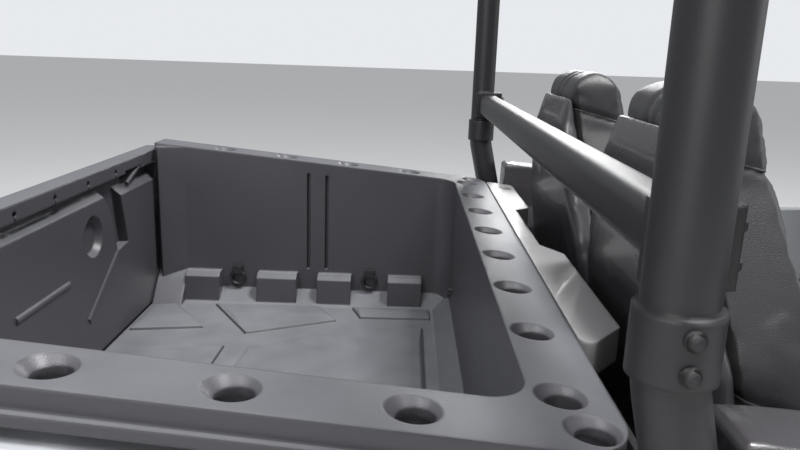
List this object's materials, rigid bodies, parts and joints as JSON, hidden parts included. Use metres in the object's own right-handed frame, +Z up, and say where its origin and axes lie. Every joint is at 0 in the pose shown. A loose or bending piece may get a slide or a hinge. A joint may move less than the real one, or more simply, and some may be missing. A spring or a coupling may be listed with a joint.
{
  "type": "side by side utility vehicle",
  "caption": "Two-seat side-by-side utility vehicle with a ribbed plastic dump bed, tailgate, roll cage, half doors and large off-road tyres.",
  "frame": {"origin": "on the ground under the middle of the vehicle's bounding box", "axes": "+X forward, +Y to the driver's left, +Z up"},
  "size_m": [3, 1.612, 1.9329],
  "materials": {
    "tyre": "dull",
    "rim": "satin",
    "cast": "rough cast",
    "frame": "satin powder coat",
    "spring": "satin",
    "steel": "machined",
    "engine": "as cast",
    "muffler": "brushed",
    "plastic": "fine grain",
    "cage": "satin powder coat",
    "bed": "grained, slight sheen",
    "paint": "gloss",
    "red_lens": "clear gloss",
    "zinc": "plated",
    "trim": "moulded gloss",
    "seat": "vinyl grain",
    "grip": "moulded",
    "lens": "clear gloss"
  },
  "bodies": {
    "chassis": {"rear_hubs": "cast", "front_arms": "frame", "rear_arms": "frame", "front_shocks": "spring", "rear_shocks": "spring", "half_shafts": "steel", "engine": "engine", "front_drive": "engine", "rear_gearcase": "engine", "muffler": "muffler", "frame": "frame", "skid_plate": "plastic", "rear_frame": "frame", "front_frame": "frame", "cage_left": "cage", "cage_right": "cage", "roof_bars": "cage", "cross_bar": "cage", "cab_floor": "plastic", "seat_base": "plastic", "bulkhead": "plastic", "cover_strip": "plastic", "dash": "plastic", "quarter_panel_left": "trim", "quarter_panel_right": "trim", "seat_left": "seat", "seat_right": "seat", "steering_column": "steel", "hood": "paint", "front_fender_left": "paint", "front_fender_right": "paint", "grille": "plastic", "headlamps": "lens", "front_bumper": "frame", "rear_fender_left": "plastic", "rear_fender_right": "plastic", "hitch_receiver": "frame"},
    "steering": {"steering_wheel": "grip"},
    "knuckle_left": {"knuckle_front_left": "cast"},
    "knuckle_right": {"knuckle_front_right": "cast"},
    "wheel_front_left": {"rim_front_left": "rim", "tyre_front_left": "tyre"},
    "wheel_front_right": {"rim_front_right": "rim", "tyre_front_right": "tyre"},
    "wheel_rear_left": {"rim_rear_left": "rim", "tyre_rear_left": "tyre"},
    "wheel_rear_right": {"rim_rear_right": "rim", "tyre_rear_right": "tyre"},
    "bed": {"bed_tub": "bed", "bed_side_left": "paint", "bed_side_right": "paint", "tail_lamps": "red_lens", "tie_down_rings": "zinc"},
    "tailgate": {"tailgate": "bed"},
    "door_left": {"door_left": "paint"},
    "door_right": {"door_right": "paint"}
  },
  "joints": [
    {"name": "steering", "type": "hinge", "parent": "chassis", "child": "steering", "pos_m": [0.25, 0.275, 1.075], "axis": [0.848, 0, -0.5299], "range_deg": [-270, 270]},
    {"name": "steer_left", "type": "hinge", "parent": "chassis", "child": "knuckle_left", "pos_m": [1.1, 0.572, 0.381], "axis": [0, 0, 1], "range_deg": [-28, 28]},
    {"name": "steer_right", "type": "hinge", "parent": "chassis", "child": "knuckle_right", "pos_m": [1.1, -0.572, 0.381], "axis": [0, 0, 1], "range_deg": [-28, 28]},
    {"name": "wheel_front_left_spin", "type": "hinge", "parent": "knuckle_left", "child": "wheel_front_left", "pos_m": [1.1, 0.68, 0.381], "axis": [0, 1, 0], "continuous": true},
    {"name": "wheel_front_right_spin", "type": "hinge", "parent": "knuckle_right", "child": "wheel_front_right", "pos_m": [1.1, -0.68, 0.381], "axis": [0, 1, 0], "continuous": true},
    {"name": "wheel_rear_left_spin", "type": "hinge", "parent": "chassis", "child": "wheel_rear_left", "pos_m": [-1.01, 0.68, 0.381], "axis": [0, 1, 0], "continuous": true},
    {"name": "wheel_rear_right_spin", "type": "hinge", "parent": "chassis", "child": "wheel_rear_right", "pos_m": [-1.01, -0.68, 0.381], "axis": [0, 1, 0], "continuous": true},
    {"name": "bed_tilt", "type": "hinge", "parent": "chassis", "child": "bed", "pos_m": [-1.33, 0, 0.8037], "axis": [0, -1, 0], "range_deg": [0, 40]},
    {"name": "tailgate_drop", "type": "hinge", "parent": "bed", "child": "tailgate", "pos_m": [-1.407, 0, 0.818], "axis": [0, -1, 0], "range_deg": [0, 90]},
    {"name": "door_left_swing", "type": "hinge", "parent": "chassis", "child": "door_left", "pos_m": [0.582, 0.691, 0.9], "axis": [0, 0, -1], "range_deg": [0, 70]},
    {"name": "door_right_swing", "type": "hinge", "parent": "chassis", "child": "door_right", "pos_m": [0.582, -0.691, 0.9], "axis": [0, 0, 1], "range_deg": [0, 70]}
  ],
  "couplings": [
    {"joint": "steer_left", "follows": "steering", "ratio": -0.1},
    {"joint": "steer_right", "follows": "steering", "ratio": -0.1}
  ]
}
